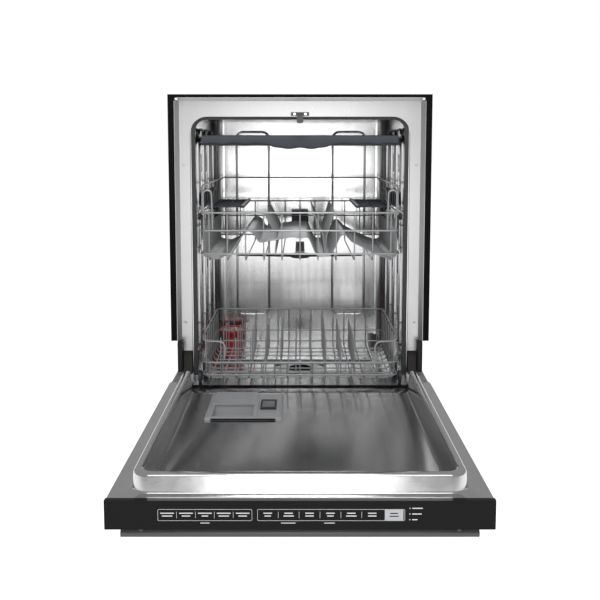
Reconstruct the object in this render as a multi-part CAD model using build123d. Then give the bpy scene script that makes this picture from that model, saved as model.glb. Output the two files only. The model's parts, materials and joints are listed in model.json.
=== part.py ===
from build123d import *
import os

# Built-in dishwasher with its door lying open. Millimetres, +Z up, floor at z 0, +Y towards the back wall.
# Origin: centre of the open appliance's footprint on the floor.

# Driving dimensions
FRONT = 60.0                 # y of the tub's front plane
BODY_DEPTH = 575.0           # front plane to the back panel
DOOR_REACH = 695.0           # front plane to the end of the open door
TOP = 860.0
HALF_W = 300.0               # half of the 600 mm body width
LIP_OUT, LIP_IN = 285.0, 279.0
FLANGE_DEPTH = 33.0          # the flange lies this far behind the front plane
FLANGE_T = 3.0
OPEN_HALF, OPEN_TOP, OPEN_R = 254.7, 811.0, 40.0
SEAM_Z, FLANGE_BOTTOM = 752.0, 261.0
TRIM_BOTTOM, TRIM_T = 292.0, 8.0
LIP_BOTTOM = 288.0
TUB_HALF, TUB_TOP, TUB_BACK, TUB_WALL = 252.0, 813.0, 560.0, 2.0
LEDGE_Z, LEDGE_IN, FLOOR_Z = 186.5, 228.0, 158.0
SUMP_Y, SUMP_R = FRONT + 280.0, 72.0
INLET_Y = FRONT + 175.0

PIVOT_Y, PIVOT_Z = FRONT - 20.0, 189.0
DOOR_END = FRONT - DOOR_REACH
DOOR_HALF = 299.0
DOOR_FACE_Z, DOOR_FLANGE_Z = 160.0, 206.0
LINER_Z, RIDGE_Z = 186.5, 237.0
RIDGE_OUT, RIDGE_IN = 267.0, 245.0
RIDGE_END = DOOR_END + 24.0
LINER_REAR = FRONT - 24.0
SKIRT_REAR = FRONT + 70.0
CONTROL_DEPTH = 10.0
DISH_Y0, DISH_Y1 = PIVOT_Y - 236, PIVOT_Y - 62   # the dispenser's recess in the liner
PAD_X = (129.3, 157.7)        # the start pad's span along X
HANDLE_HALF, HANDLE_Y, HANDLE_Z, HANDLE_D = 284.0, DOOR_END + 48.0, 133.0, 14.0

FIT = 0.05                   # radial running clearance of pins and hubs
TOUCH = 0.02                 # gap between crossing wires

LOW_HALF, LOW_FRONT, LOW_DEPTH = 231.0, FRONT - 8.0, 350.0
LOW_FLOOR, LOW_RIM, LOW_WIRE = 198.0, 302.0, 4.0
WHEEL_D, WHEEL_W, WHEEL_X = 30.0, 7.0, 236.0
UP_HALF, UP_FRONT, UP_DEPTH = 240.0, FRONT + 42.0, 447.0
UP_FLOOR, UP_RIM, UP_WIRE = 480.0, 655.0, 4.0
SHELF_X, SHELF_Z = 218.0, 598.0   # the cup shelves' hinges
NOZZLE_X, NOZZLE_Y = -196.0, FRONT + 488.0
THIRD_HALF, THIRD_FRONT, THIRD_DEPTH, THIRD_Z, THIRD_H = 230.0, FRONT + 50.0, 450.0, 745.0, 24.0

os.makedirs("parts", exist_ok=True)
NODES = {}


def box(x, y, z):
    """A box from three (low, high) pairs."""
    return Pos(sum(x) / 2, sum(y) / 2, sum(z) / 2) * Box(x[1] - x[0], y[1] - y[0], z[1] - z[0])


def rod(start, end, diameter):
    """A round rod between two points."""
    a, b = Vector(*start), Vector(*end)
    plane = Plane(origin=a, z_dir=b - a)
    return plane * Cylinder(diameter / 2, (b - a).length, align=(Align.CENTER, Align.CENTER, Align.MIN))


def disc(x, y, z, radius, height):
    """An upright cylinder standing on z."""
    return Pos(x, y, z) * Cylinder(radius, height, align=(Align.CENTER, Align.CENTER, Align.MIN))


def axle(x, y, z, radius, length):
    """A cylinder along X, centred at the point."""
    return Pos(x, y, z) * Rot(0, 90, 0) * Cylinder(radius, length)


def prism_x(points, x):
    """A (y, z) outline drawn across x = (low, high)."""
    outline = Plane.YZ.offset(x[0]) * make_face(Polyline(*points, close=True))
    return extrude(outline, x[1] - x[0])


def both_sides(make):
    """The piece on the right and its mirror image on the left."""
    return [make(1), make(-1)]


def side(sign, low, high):
    """An x span on the given side."""
    return (low, high) if sign > 0 else (-high, -low)


def put(node, *solids):
    """Adds solids to one sub-part."""
    NODES.setdefault(node, []).extend(solids)


def flatten(item):
    """The solids in an item, or in a nested list of them."""
    if isinstance(item, (list, tuple)) and not hasattr(item, "solids"):
        return [solid for part in item for solid in flatten(part)]
    return list(item.solids())


# ---------------------------------------------------------------- cabinet and tub
def tub():
    """Stainless tub: rounded rear corners, wheel ledges along both sides and a lower basin with the sump hole."""
    front, back = FRONT + FLANGE_DEPTH + FLANGE_T, FRONT + TUB_BACK
    corner = 30.0

    def block(half, low, high, grow, start):
        body = box((-half - grow, half + grow), (start, back + grow), (low - grow, high + grow))
        return fillet(body.edges().filter_by(Axis.Z).sort_by(Axis.Y)[-2:], corner + grow)

    shell = block(TUB_HALF, LEDGE_Z, TUB_TOP, TUB_WALL, front)
    basin = block(LEDGE_IN, FLOOR_Z, LEDGE_Z, TUB_WALL, FRONT + 74)
    lip = box((-TUB_HALF - TUB_WALL, TUB_HALF + TUB_WALL), (FRONT, front), (176, LEDGE_Z))
    inner = block(TUB_HALF, LEDGE_Z, TUB_TOP, 0, front)
    inner_basin = block(LEDGE_IN, FLOOR_Z, LEDGE_Z, 0, FRONT + 76)
    hole = disc(0, SUMP_Y, FLOOR_Z - 10, SUMP_R, 20)
    return shell + basin + lip - inner - inner_basin - hole


def front_frame():
    """Bright side flanges with the sloped lip, below the header seam, and the header piece above it."""
    y0, y1 = FRONT + FLANGE_DEPTH, FRONT + FLANGE_DEPTH + FLANGE_T
    plate = box((-LIP_OUT, LIP_OUT), (y0, y1), (FLANGE_BOTTOM, 849))
    hole = box((-OPEN_HALF, OPEN_HALF), (y0 - 5, y1 + 5), (100, OPEN_TOP))
    hole = fillet(hole.edges().filter_by(Axis.Y).sort_by(Axis.Z)[-2:], OPEN_R)
    flange = plate - hole
    lips = []
    for s in (1, -1):
        outline = [(s * LIP_OUT, FRONT), (s * (LIP_OUT + 0.9), FRONT), (s * (LIP_IN + 1.5), y0), (s * LIP_IN, y0)]
        face = make_face(Polyline(*[(x, y, LIP_BOTTOM) for x, y in outline], close=True))
        lips.append(extrude(face, 846 - LIP_BOTTOM, dir=(0, 0, 1)))
    top_lip = prism_x([(FRONT, 852), (FRONT, 852.9), (y0, 847.5), (y0, 846)], (-LIP_IN, LIP_IN))
    upper = box((-400, 400), (-400, 900), (SEAM_Z, 900))
    header = (flange & upper) + [lip & upper for lip in lips] + top_lip
    frame = (flange - upper) + [lip - upper for lip in lips]
    return frame, header


def cabinet():
    """Everything that stays still."""
    put("tub", tub())
    frame, header = front_frame()
    put("front_frame", frame)
    put("frame_header", header)
    trim = box((-HALF_W, HALF_W), (FRONT, FRONT + 20), (TRIM_BOTTOM, TOP))
    trim -= box((-LIP_OUT - 1.2, LIP_OUT + 1.2), (FRONT - 5, FRONT + 30), (TRIM_BOTTOM - 5, TOP - TRIM_T + 1.2))
    put("perimeter_trim", trim)
    gasket_y = (FRONT + 40, FRONT + 50)
    gasket = box((-251.5, 251.5), gasket_y, (200, 812.5))
    gasket = fillet(gasket.edges().filter_by(Axis.Y).sort_by(Axis.Z)[-2:], 32)
    cut = box((-243.5, 243.5), (gasket_y[0] - 5, gasket_y[1] + 5), (190, 804.5))
    cut = fillet(cut.edges().filter_by(Axis.Y).sort_by(Axis.Z)[-2:], 26)
    put("tub_gasket", gasket - cut)
    y_case = (FRONT + 37, FRONT + BODY_DEPTH - 3)
    notch = box((-300, 300), (FRONT + 30, FRONT + 142), (90, 204))
    put("casing_panels", box((288, 289.2), y_case, (100, 848)) - notch)
    put("casing_panels", box((-289.2, -288), y_case, (100, 848)) - notch)
    top = box((-289.2, 289.2), y_case, (848.2, 849.4))
    put("casing_panels", top - disc(-200, FRONT + 60, 840, 3, 20) - disc(200, FRONT + 60, 840, 3, 20))
    put("back_panel", box((-289.2, 289.2), (FRONT + BODY_DEPTH - 1.2, FRONT + BODY_DEPTH), (100, 849.4)))
    put("insulation", box((-280, 280), (FRONT + 45, FRONT + 555), (819, 839)),
        both_sides(lambda s: box(side(s, 258, 280), (FRONT + 45, FRONT + 555), (200, 815))))
    pan = box((-291, 291), (FRONT + 105, FRONT + BODY_DEPTH - 3.2), (43.8, 46)) - disc(-222, INLET_Y, 30, 16, 30)
    put("base_pan", pan,
        both_sides(lambda s: box(side(s, 282, 287.8), (FRONT + 105, FRONT + 560), (46.2, 180))))
    put("toe_kick", box((-298, 298), (FRONT + 88, FRONT + 91), (6, 88)))
    put("leveling_legs", [disc(x, y, 0, 18, 8) + disc(x, y, 8, 6, 35.6)
                          for x in (-262, 262) for y in (FRONT + 130, FRONT + 530)])
    put("hinge_covers", both_sides(lambda s: box(side(s, 275.5, 286), (FRONT + 2, FRONT + 32), (217, LIP_BOTTOM - 0.5))))
    put("hinge_brackets", both_sides(lambda s: hinge_bracket(s)))
    put("latch_strike", box((-21, 21), (FRONT + 29.8, FRONT + 32.9), (812.5, 821)))
    hook = box((-7, 7), (FRONT - 36, FRONT + 29.6), (796, 811))
    hook -= box((-4, 4), (FRONT - 32, FRONT + 22), (790, 820))
    hook += box((-7, 7), (FRONT + 26.6, FRONT + 29.6), (796, 816))
    put("latch_strike", hook)


def hinge_bracket(s):
    """Side plate with the pivot pin that the hinge arm turns on."""
    plate = box(side(s, 293.2, 296), (PIVOT_Y - 14, FRONT + 140), (176, 202))
    pin = axle(s * 290.7, PIVOT_Y, PIVOT_Z, 4.0, 5.0)
    ear = box(side(s, 281, 293.2), (FRONT + 104, FRONT + 140), (180.5, 198)) 
    return plate + pin + ear


# ---------------------------------------------------------------- machinery below and behind the tub
def machinery():
    """Sump, pumps, heater, valve, filters, float, water feed and cable box."""
    cup = disc(0, SUMP_Y, 118, SUMP_R - 1, 37.8) - disc(0, SUMP_Y, 122, SUMP_R - 5, 60)
    put("sump", cup + disc(0, SUMP_Y, 90, 34, 28))
    put("coarse_filter", disc(0, SUMP_Y, 122.2, 30, 33) - disc(0, SUMP_Y, 126, 27, 40))
    put("fine_filter", disc(0, SUMP_Y, 150, SUMP_R - 6, 3) - disc(0, SUMP_Y, 140, 30.6, 20))
    put("circulation_pump", axle(92, SUMP_Y, 82, 35, 90), disc(0, SUMP_Y, 70, 30, 19.8))
    put("drain_pump", axle(-86, SUMP_Y + 30, 88, 26, 60))
    put("heater", disc(0, SUMP_Y + 112, 60, 32, 60) - disc(0, SUMP_Y + 112, 55, 26, 80))
    put("counterbalance_springs", [Pos(x, FRONT + 380, 60) * Rot(90, 0, 0) * Cylinder(8, 120) for x in (-270, 270)])
    put("inlet_valve", box((-240, -205), (FRONT + 150, FRONT + 200), (46.5, 90))
        + disc(-222, INLET_Y, 22, 9.5, 24.5))
    outlet = Pos(-180, FRONT + BODY_DEPTH - 20, 74) * Rot(90, 0, 0)
    put("drain_outlet", outlet * Cylinder(9.5, 30) - outlet * Cylinder(7, 40))
    case = box((185, 265), (FRONT + 140, FRONT + 200), (46.5, 96)) - box((188, 262), (FRONT + 143, FRONT + 197), (49.5, 93))
    put("junction_box", case - Pos(225, FRONT + 198, 70) * Rot(90, 0, 0) * Cylinder(11, 10))
    post = disc(0, SUMP_Y, 126.1, 12, 40.9) + disc(0, SUMP_Y, 167, 5, 12)
    put("coarse_filter", post)
    put("feed_conduit", box((-14, 14), (FRONT + TUB_BACK + 2.5, FRONT + BODY_DEPTH - 2), (130, 540)),
        box((-24, 24), (FRONT + 500, FRONT + TUB_BACK - 0.2), (491, 558)))
    arm = box((-195, 195), (SUMP_Y - 16, SUMP_Y + 16), (170, 179)) + disc(0, SUMP_Y, 168, 26, 11.5)
    arm = fillet(arm.edges().filter_by(Axis.Z), 8)
    put("lower_spray_arm", arm - disc(0, SUMP_Y, 160, 5 + FIT, 30))
    put("float_stem", disc(190, FRONT + 120, FLOOR_Z + 3, 13, 20))


def rails():
    """Fixed rails for the upper rack and the cutlery tray, with their end stops."""
    def upper(s):
        """A slim channel that the rack's rollers run in."""
        return box(side(s, 247, 251.8), (FRONT + 60, FRONT + 525), (566, 586))

    def third(s):
        """A slim rail beside the cutlery tray."""
        return box(side(s, 247, 251.8), (FRONT + 60, FRONT + 520), (752, 764))

    put("rack_rails", both_sides(upper))
    put("rack_rails", both_sides(third))


def wash_nozzle():
    """Corner nozzle: fluted column fixed to the floor, with a flared head that turns on it."""
    x, y = NOZZLE_X, NOZZLE_Y
    put("nozzle_base", disc(x, y, FLOOR_Z + 0.2, 30, 36) + disc(x, y, FLOOR_Z + 36, 6, 26))
    head = Pos(x, y, 196) * Cone(30, 41, 14, align=(Align.CENTER, Align.CENTER, Align.MIN))
    head += disc(x, y, 210, 41, 6)
    put("nozzle_head", head - disc(x, y, 190, 6 + FIT, 40))


# ---------------------------------------------------------------- racks
def spaced(low, high, count):
    """Evenly spaced values, ends included."""
    return [low + (high - low) * i / (count - 1) for i in range(count)]


def ring(x_half, y, z, d, front=True, back=True):
    """Straight wires round a rack at one height."""
    inset = d / 2 + TOUCH
    wires = [rod((s * x_half, y[0] + inset, z), (s * x_half, y[1] - inset, z), d) for s in (-1, 1)]
    if front:
        wires.append(rod((-x_half, y[0], z), (x_half, y[0], z), d))
    if back:
        wires.append(rod((-x_half, y[1], z), (x_half, y[1], z), d))
    return wires


def wire_basket(prefix, half, front, depth, floor, levels, wire, posts, floor_count):
    """Frame of horizontal wires with upright posts inside it, and a floor of lengthwise wires."""
    y = (front, front + depth)
    frame = []
    for level in levels:
        frame += ring(half, y, level, wire)
    step = wire + TOUCH
    top = max(levels)
    for x in spaced(-half + 8, half - 8, posts):
        for wall_y in (y[0] + step, y[1] - step):
            frame.append(rod((x, wall_y, floor + step), (x, wall_y, top), wire * 0.8))
    for wall_y in spaced(y[0] + 40, y[1] - 40, max(4, posts // 2)):
        for s in (-1, 1):
            frame.append(rod((s * (half - step), wall_y, floor + 2 * step), (s * (half - step), wall_y, top), wire * 0.8))
    put(prefix + "_frame", frame)
    wires = [rod((x, y[0] + step * 2, floor), (x, y[1] - step * 2, floor), wire * 0.9)
             for x in spaced(-half + 20, half - 20, floor_count)]
    wires += [rod((-half, wy, floor - wire * 0.95 - TOUCH), (half, wy, floor - wire * 0.95 - TOUCH), wire)
              for wy in spaced(y[0] + 24, y[1] - 24, 4)]
    put(prefix + "_floor", wires)


def tines(xs, ys, low, high, lean=0.0):
    """Rows of upright tines."""
    return [rod((x, y, low), (x, y + lean, high), 3.2) for x in xs for y in ys]


def lower_rack():
    """Short lower rack: it rolls on eight wheels along the tub ledges and out over the open door."""
    levels = (213.0, 243.0, LOW_RIM)
    wire_basket("lower_rack", LOW_HALF - 5, LOW_FRONT, LOW_DEPTH, LOW_FLOOR + 5, levels, LOW_WIRE, 11, 12)
    base = LOW_FLOOR + 7.2
    rows = spaced(LOW_FRONT + 60, LOW_FRONT + LOW_DEPTH - 60, 4)
    put("lower_rack_floor", tines(spaced(-190, 98, 9), rows, base, 290))
    ys = spaced(LOW_FRONT + 50, LOW_FRONT + LOW_DEPTH - 50, 9)
    put("fold_tines", tines((130,), ys, base + 5, 285),
        rod((130, ys[0] - 12, base + 3.3), (130, ys[-1] + 12, base + 3.3), 3.4))
    for index, y in enumerate(spaced(LOW_FRONT + 30, LOW_FRONT + LOW_DEPTH - 30, 4), start=1):
        radius = WHEEL_D / 2
        z = LEDGE_Z + 0.3 + radius
        put(f"lower_wheels_{index}", both_sides(lambda s: axle(s * WHEEL_X, y, z, radius, WHEEL_W)
                                                - axle(s * WHEEL_X, y, z, 3 + FIT, WHEEL_W + 2)))
        put("wheel_brackets", both_sides(lambda s: axle(s * (WHEEL_X - 3.5), y, z, 3, 9)
                                              + box(side(s, 228.1, 231.9), (y - 7, y + 7), (LEDGE_Z + 8, 212))))


def upper_rack():
    """Height-adjustable upper rack with folding cup shelves and its own spray arm."""
    levels = (491.0, 546.0, 588.0)
    wire_basket("upper_rack", UP_HALF - 6, UP_FRONT, UP_DEPTH, UP_FLOOR, levels, UP_WIRE, 9, 13)
    y = (UP_FRONT, UP_FRONT + UP_DEPTH)
    x, rail_z = UP_HALF - 6 - UP_WIRE - TOUCH, UP_RIM - UP_WIRE - 0.1
    rim = [rod((-x, y[1] - 9, UP_RIM), (x, y[1] - 9, UP_RIM), 4)]
    rim += [rod((s * x, y[0] + 9, rail_z), (s * x, y[1] - 5, rail_z), 4) for s in (-1, 1)]
    rim += [rod((s * x, wy, 580), (s * x, wy, rail_z - 2.1), 4) for s in (-1, 1) for wy in (y[0] + 12, y[1] - 12)]
    put("upper_rack_frame", rim)
    ys = spaced(y[0] + 60, y[1] - 60, 9)
    put("upper_rack_floor", tines((-60, 60), ys, UP_FLOOR + 2.2, 560))
    plate = (UP_HALF - 3, UP_HALF + 1.5)
    put("height_adjusters", both_sides(lambda s: box(side(s, *plate), (y[0] + 120, y[0] + 330), (594, 628))))
    put("height_adjusters", both_sides(lambda s: [axle(s * 240, wy, 576, 8, 6) + axle(s * 234.5, wy, 576, 3, 5.2)
                                               for wy in (y[0] + 40, y[1] - 60)]))
    put("cup_shelf_left", cup_shelf(-1))
    put("cup_shelf_right", cup_shelf(1))
    arm_z, centre = 455.0, FRONT + 270.0
    arm = box((-165, 165), (centre - 15, centre + 15), (arm_z, arm_z + 9)) + disc(0, centre, arm_z - 2, 24, 11)
    put("middle_spray_arm", arm - disc(0, centre, arm_z - 10, 4 + FIT, 40))
    tube = disc(0, centre, arm_z - 4, 4, 20) + box((-12, 12), (centre - 12, FRONT + 484), (arm_z + 10.5, arm_z + 16))
    put("upper_feed_tube", tube)


def cup_shelf(s):
    """Level slatted shelf that folds up about a rod along its outer edge."""
    y = (UP_FRONT + 60, UP_FRONT + 330)
    outer, inner = SHELF_X - 4, SHELF_X - 84
    plate = box(side(s, inner, inner + 6), y, (SHELF_Z - 3, SHELF_Z + 3))
    plate += box(side(s, outer - 6, outer), y, (SHELF_Z - 3, SHELF_Z + 3))
    for wy in spaced(y[0] + 12, y[1] - 12, 9):
        plate += box(side(s, inner, SHELF_X - 6), (wy - 3, wy + 3), (SHELF_Z - 2, SHELF_Z + 2))
    return plate + rod((s * SHELF_X, y[0], SHELF_Z), (s * SHELF_X, y[1], SHELF_Z), 6)


def third_rack():
    """Shallow cutlery tray with a moulded front grip."""
    y = (THIRD_FRONT + 12.2, THIRD_FRONT + THIRD_DEPTH)
    tray = box((-THIRD_HALF, THIRD_HALF), y, (THIRD_Z, THIRD_Z + THIRD_H))
    tray -= box((-THIRD_HALF + 3, THIRD_HALF - 3), (y[0] + 3, y[1] - 3), (THIRD_Z + 3, THIRD_Z + 50))
    put("cutlery_tray", tray)
    put("cutlery_tray", [box((x - 1, x + 1), (y[0] + 3.2, y[1] - 3.2), (THIRD_Z + 3.2, THIRD_Z + 20)) for x in (-110, 0, 110)])
    bar = box((-THIRD_HALF, THIRD_HALF), (THIRD_FRONT, THIRD_FRONT + 12), (THIRD_Z, THIRD_Z + THIRD_H))
    bar += box((-64, 64), (THIRD_FRONT, THIRD_FRONT + 12), (THIRD_Z - 11, THIRD_Z + 4))
    put("tray_handle", bar)
    put("cutlery_tray", both_sides(lambda s: [axle(s * 236.4, wy, 758, 5, 11.2) for wy in (y[0] + 60, y[1] - 60)]))


# ---------------------------------------------------------------- door, lying open and level
def liner():
    """Pressed inner door: side flanges, a raised ridge round the sides and end, and the recessed panel."""
    sheet = 1.5
    end_y, rear_y = RIDGE_END, LINER_REAR
    flange = box((-DOOR_HALF + 2.2, DOOR_HALF - 2.2), (DOOR_END + 10.2, FRONT - 42), (DOOR_FLANGE_Z - sheet, DOOR_FLANGE_Z))
    flange -= box((-RIDGE_OUT + 1, RIDGE_OUT - 1), (end_y + 1, FRONT), (190, 230))
    outer = box((-RIDGE_OUT, RIDGE_OUT), (end_y, FRONT - 62), (DOOR_FLANGE_Z - sheet, RIDGE_Z))
    outer = fillet(outer.edges().filter_by(Axis.Z).sort_by(Axis.Y)[:2], 30)
    hollow = box((-RIDGE_OUT + sheet, RIDGE_OUT - sheet), (end_y + sheet, FRONT - 62 - sheet), (150, RIDGE_Z - sheet))
    hollow = fillet(hollow.edges().filter_by(Axis.Z).sort_by(Axis.Y)[:2], 28)
    pocket = box((-RIDGE_IN, RIDGE_IN), (end_y + 22, FRONT + 20), (150, 260))
    pocket = fillet(pocket.edges().filter_by(Axis.Z).sort_by(Axis.Y)[:2], 16)
    walls = box((-RIDGE_IN - sheet, RIDGE_IN + sheet), (end_y + 22 - sheet, FRONT - 62), (LINER_Z - sheet, RIDGE_Z - 0.5))
    walls = fillet(walls.edges().filter_by(Axis.Z).sort_by(Axis.Y)[:2], 17.5)
    panel = box((-RIDGE_IN - sheet, RIDGE_IN + sheet), (end_y + 22 - sheet, rear_y), (LINER_Z - sheet, LINER_Z))
    panel = fillet(panel.edges().filter_by(Axis.Z).sort_by(Axis.Y)[:2], 17.5)
    slot = box((-14, 14), (DOOR_END + 46, DOOR_END + 80), (170, 200))
    recess = box((-194, -39), (DISH_Y0, DISH_Y1), (150, 195))
    return flange + (outer - hollow - pocket) + (walls - pocket) + (panel - slot - recess)


def dispenser():
    """Detergent cup with a sliding lid, and rinse-aid chamber with a hinged cap."""
    low, top = 166.0, LINER_Z + 6
    body = box((-193, -40), (DISH_Y0 + 1, DISH_Y1 - 1), (low, LINER_Z + 4))
    body += box((-195, -38), (DISH_Y0 - 1, DISH_Y1 + 1), (LINER_Z + 0.2, LINER_Z + 4))
    cup = box((-182, -98), (DISH_Y0 + 14, DISH_Y0 + 92), (low + 4, 260))
    chamber = box((-80, -54), (DISH_Y0 + 60, DISH_Y1 - 60), (low + 4, 260))
    put("dispenser_body", body - cup - chamber)
    put("detergent_lid", box((-186, -94), (DISH_Y0 + 88, DISH_Y1 - 1), (LINER_Z + 4.3, top + 2)))
    cap = box((-84, -50), (DISH_Y0 + 57, DISH_Y1 - 57), (LINER_Z + 4.3, top + 2))
    put("rinse_aid_cap", cap + axle(-67, DISH_Y1 - 57, LINER_Z + 6.15, 1.85, 34))


def door():
    """Outer panel, black control end, handle, liner, core, latch, hinge arms and electronics."""
    panel = box((-DOOR_HALF, DOOR_HALF), (DOOR_END + 10.2, SKIRT_REAR), (DOOR_FACE_Z, DOOR_FACE_Z + 2))
    sides = both_sides(lambda s: box(side(s, 297, DOOR_HALF), (DOOR_END + 10.2, FRONT - 42), (DOOR_FACE_Z + 2, 203)))
    put("door_outer_panel", panel + sides)
    put("door_liner", liner())
    control = box((-DOOR_HALF, DOOR_HALF), (DOOR_END, DOOR_END + CONTROL_DEPTH), (DOOR_FACE_Z, DOOR_FLANGE_Z))
    control -= box((PAD_X[0] - 0.3, PAD_X[1] + 0.3), (DOOR_END - 5, DOOR_END + 2.4), (174, 192))
    control -= box((PAD_X[0] + 6, PAD_X[1] - 6), (DOOR_END - 5, DOOR_END + 20), (178, 188))
    put("control_panel", control)
    button = box(PAD_X, (DOOR_END + 0.2, DOOR_END + 1.2), (174.3, 191.7))
    put("start_pad", button + box((PAD_X[0] + 6.4, PAD_X[1] - 6.4), (DOOR_END + 1.2, DOOR_END + 9), (178.4, 187.6)))
    put("control_board", box((-160, 200), (DOOR_END + 12, DOOR_END + 20), (166, 180)))
    core = box((-240, 240), (DOOR_END + 90, FRONT - 50), (163, 165.5))
    put("door_insulation", core)
    bar = axle(0, HANDLE_Y, HANDLE_Z, HANDLE_D / 2, 2 * HANDLE_HALF)
    posts = both_sides(lambda s: rod((s * 252, HANDLE_Y, HANDLE_Z), (s * 252, HANDLE_Y, DOOR_FACE_Z - 0.1), 11))
    put("door_handle", bar + posts)
    latch = box((-24, 24), (DOOR_END + 42, DOOR_END + 86), (167, 184.6)) - box((-12, 12), (DOOR_END + 48, DOOR_END + 78), (171, 190))
    put("door_latch", latch)
    put("hinge_arms", both_sides(lambda s: hinge_arm(s)))
    dispenser()


def hinge_arm(s):
    """Flat steel arm with the bore that turns on the bracket's pin."""
    x = side(s, 288.6, 292.6)
    arm = box(x, (FRONT - 190, PIVOT_Y), (PIVOT_Z - 9, PIVOT_Z + 9)) + axle(s * 290.6, PIVOT_Y, PIVOT_Z, 9, 4)
    return arm - axle(s * 290.6, PIVOT_Y, PIVOT_Z, 4 + FIT, 8)


def main():
    """Builds every sub-part and writes one file for each."""
    cabinet()
    machinery()
    rails()
    wash_nozzle()
    lower_rack()
    upper_rack()
    third_rack()
    door()
    for node, solids in NODES.items():
        parts = flatten(solids)
        export_step(parts[0] if len(parts) == 1 else Compound(parts), f"parts/{node}.step")


main()
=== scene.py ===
"""Looks of a built-in dishwasher with its door lying open: steel, racks, plastics and small fittings.

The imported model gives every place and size. This file adds the detailed pieces and the finishes around it.
"""
import json
import logging
import math
from dataclasses import dataclass
from enum import Enum
from typing import Iterable, Sequence

import bmesh
import bpy
from mathutils import Matrix, Vector

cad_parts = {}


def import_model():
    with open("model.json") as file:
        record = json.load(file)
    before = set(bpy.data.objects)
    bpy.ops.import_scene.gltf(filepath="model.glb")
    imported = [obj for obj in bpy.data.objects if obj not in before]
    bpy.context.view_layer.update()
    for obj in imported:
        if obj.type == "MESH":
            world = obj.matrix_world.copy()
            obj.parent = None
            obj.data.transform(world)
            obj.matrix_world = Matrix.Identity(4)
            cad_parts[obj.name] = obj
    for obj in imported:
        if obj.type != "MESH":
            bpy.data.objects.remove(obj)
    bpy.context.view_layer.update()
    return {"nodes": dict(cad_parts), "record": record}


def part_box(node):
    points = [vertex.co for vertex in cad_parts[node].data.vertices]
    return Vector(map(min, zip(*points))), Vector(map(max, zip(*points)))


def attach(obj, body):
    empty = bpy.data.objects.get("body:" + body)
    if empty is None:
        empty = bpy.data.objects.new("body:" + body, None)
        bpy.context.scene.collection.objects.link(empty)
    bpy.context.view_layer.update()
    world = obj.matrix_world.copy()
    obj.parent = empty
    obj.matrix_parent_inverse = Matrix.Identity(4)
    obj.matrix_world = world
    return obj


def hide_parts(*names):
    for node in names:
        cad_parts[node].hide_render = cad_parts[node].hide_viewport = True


LOG = logging.getLogger("dishwasher")
Point = tuple[float, float, float]
Work = bmesh.types.BMesh


# ------------------------------------------------------------------ shader helpers
class Grain(Enum):
    """The way a finish's fine marks run, as the scale of its noise along X, Y and Z."""

    ALONG_X = (1.2, 90.0, 90.0)
    ALONG_Y = (60.0, 0.8, 60.0)
    ALONG_Z = (60.0, 60.0, 0.8)
    FINE = (900.0, 900.0, 900.0)
    COARSE = (260.0, 260.0, 260.0)


def surface_marks() -> bpy.types.NodeTree:
    """Builds the shared group for grain, faint smears and wear.

    Returns:
        A shader node group that gives a colour, a roughness and a height.
    """
    if "surface_marks" in bpy.data.node_groups:
        return bpy.data.node_groups["surface_marks"]
    tree = bpy.data.node_groups.new("surface_marks", "ShaderNodeTree")
    sockets = (
        ("Color", "NodeSocketColor"), ("Scale", "NodeSocketVector"), ("Tint", "NodeSocketFloat"),
        ("Roughness", "NodeSocketFloat"), ("Rough Spread", "NodeSocketFloat"),
    )
    for name, kind in sockets:
        tree.interface.new_socket(name, in_out="INPUT", socket_type=kind)
    for name, kind in (("Color", "NodeSocketColor"), ("Roughness", "NodeSocketFloat"),
                       ("Height", "NodeSocketFloat")):
        tree.interface.new_socket(name, in_out="OUTPUT", socket_type=kind)
    nodes, links = tree.nodes, tree.links
    entry, leave = nodes.new("NodeGroupInput"), nodes.new("NodeGroupOutput")
    place = nodes.new("ShaderNodeTexCoord")
    stretch = nodes.new("ShaderNodeMapping")
    links.new(place.outputs["Object"], stretch.inputs["Vector"])
    links.new(entry.outputs["Scale"], stretch.inputs["Scale"])
    grain = nodes.new("ShaderNodeTexNoise")
    grain.inputs["Scale"].default_value = 1.0
    grain.inputs["Detail"].default_value = 3.0
    links.new(stretch.outputs["Vector"], grain.inputs["Vector"])
    smear = nodes.new("ShaderNodeTexNoise")
    smear.inputs["Scale"].default_value = 5.0
    smear.inputs["Detail"].default_value = 2.0
    links.new(place.outputs["Object"], smear.inputs["Vector"])
    blend = nodes.new("ShaderNodeMath")
    blend.operation = "ADD"
    links.new(grain.outputs["Fac"], blend.inputs[0])
    links.new(smear.outputs["Fac"], blend.inputs[1])
    centred = nodes.new("ShaderNodeMath")
    centred.operation = "SUBTRACT"
    centred.inputs[1].default_value = 1.0
    links.new(blend.outputs[0], centred.inputs[0])
    shade = nodes.new("ShaderNodeMath")
    shade.operation = "MULTIPLY_ADD"
    shade.inputs[2].default_value = 1.0
    links.new(centred.outputs[0], shade.inputs[0])
    links.new(entry.outputs["Tint"], shade.inputs[1])
    tone = nodes.new("ShaderNodeVectorMath")
    tone.operation = "SCALE"
    links.new(entry.outputs["Color"], tone.inputs[0])
    links.new(shade.outputs[0], tone.inputs["Scale"])
    rough = nodes.new("ShaderNodeMath")
    rough.operation = "MULTIPLY_ADD"
    rough.use_clamp = True
    links.new(centred.outputs[0], rough.inputs[0])
    links.new(entry.outputs["Rough Spread"], rough.inputs[1])
    links.new(entry.outputs["Roughness"], rough.inputs[2])
    links.new(tone.outputs["Vector"], leave.inputs["Color"])
    links.new(rough.outputs[0], leave.inputs["Roughness"])
    links.new(grain.outputs["Fac"], leave.inputs["Height"])
    return tree


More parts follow.
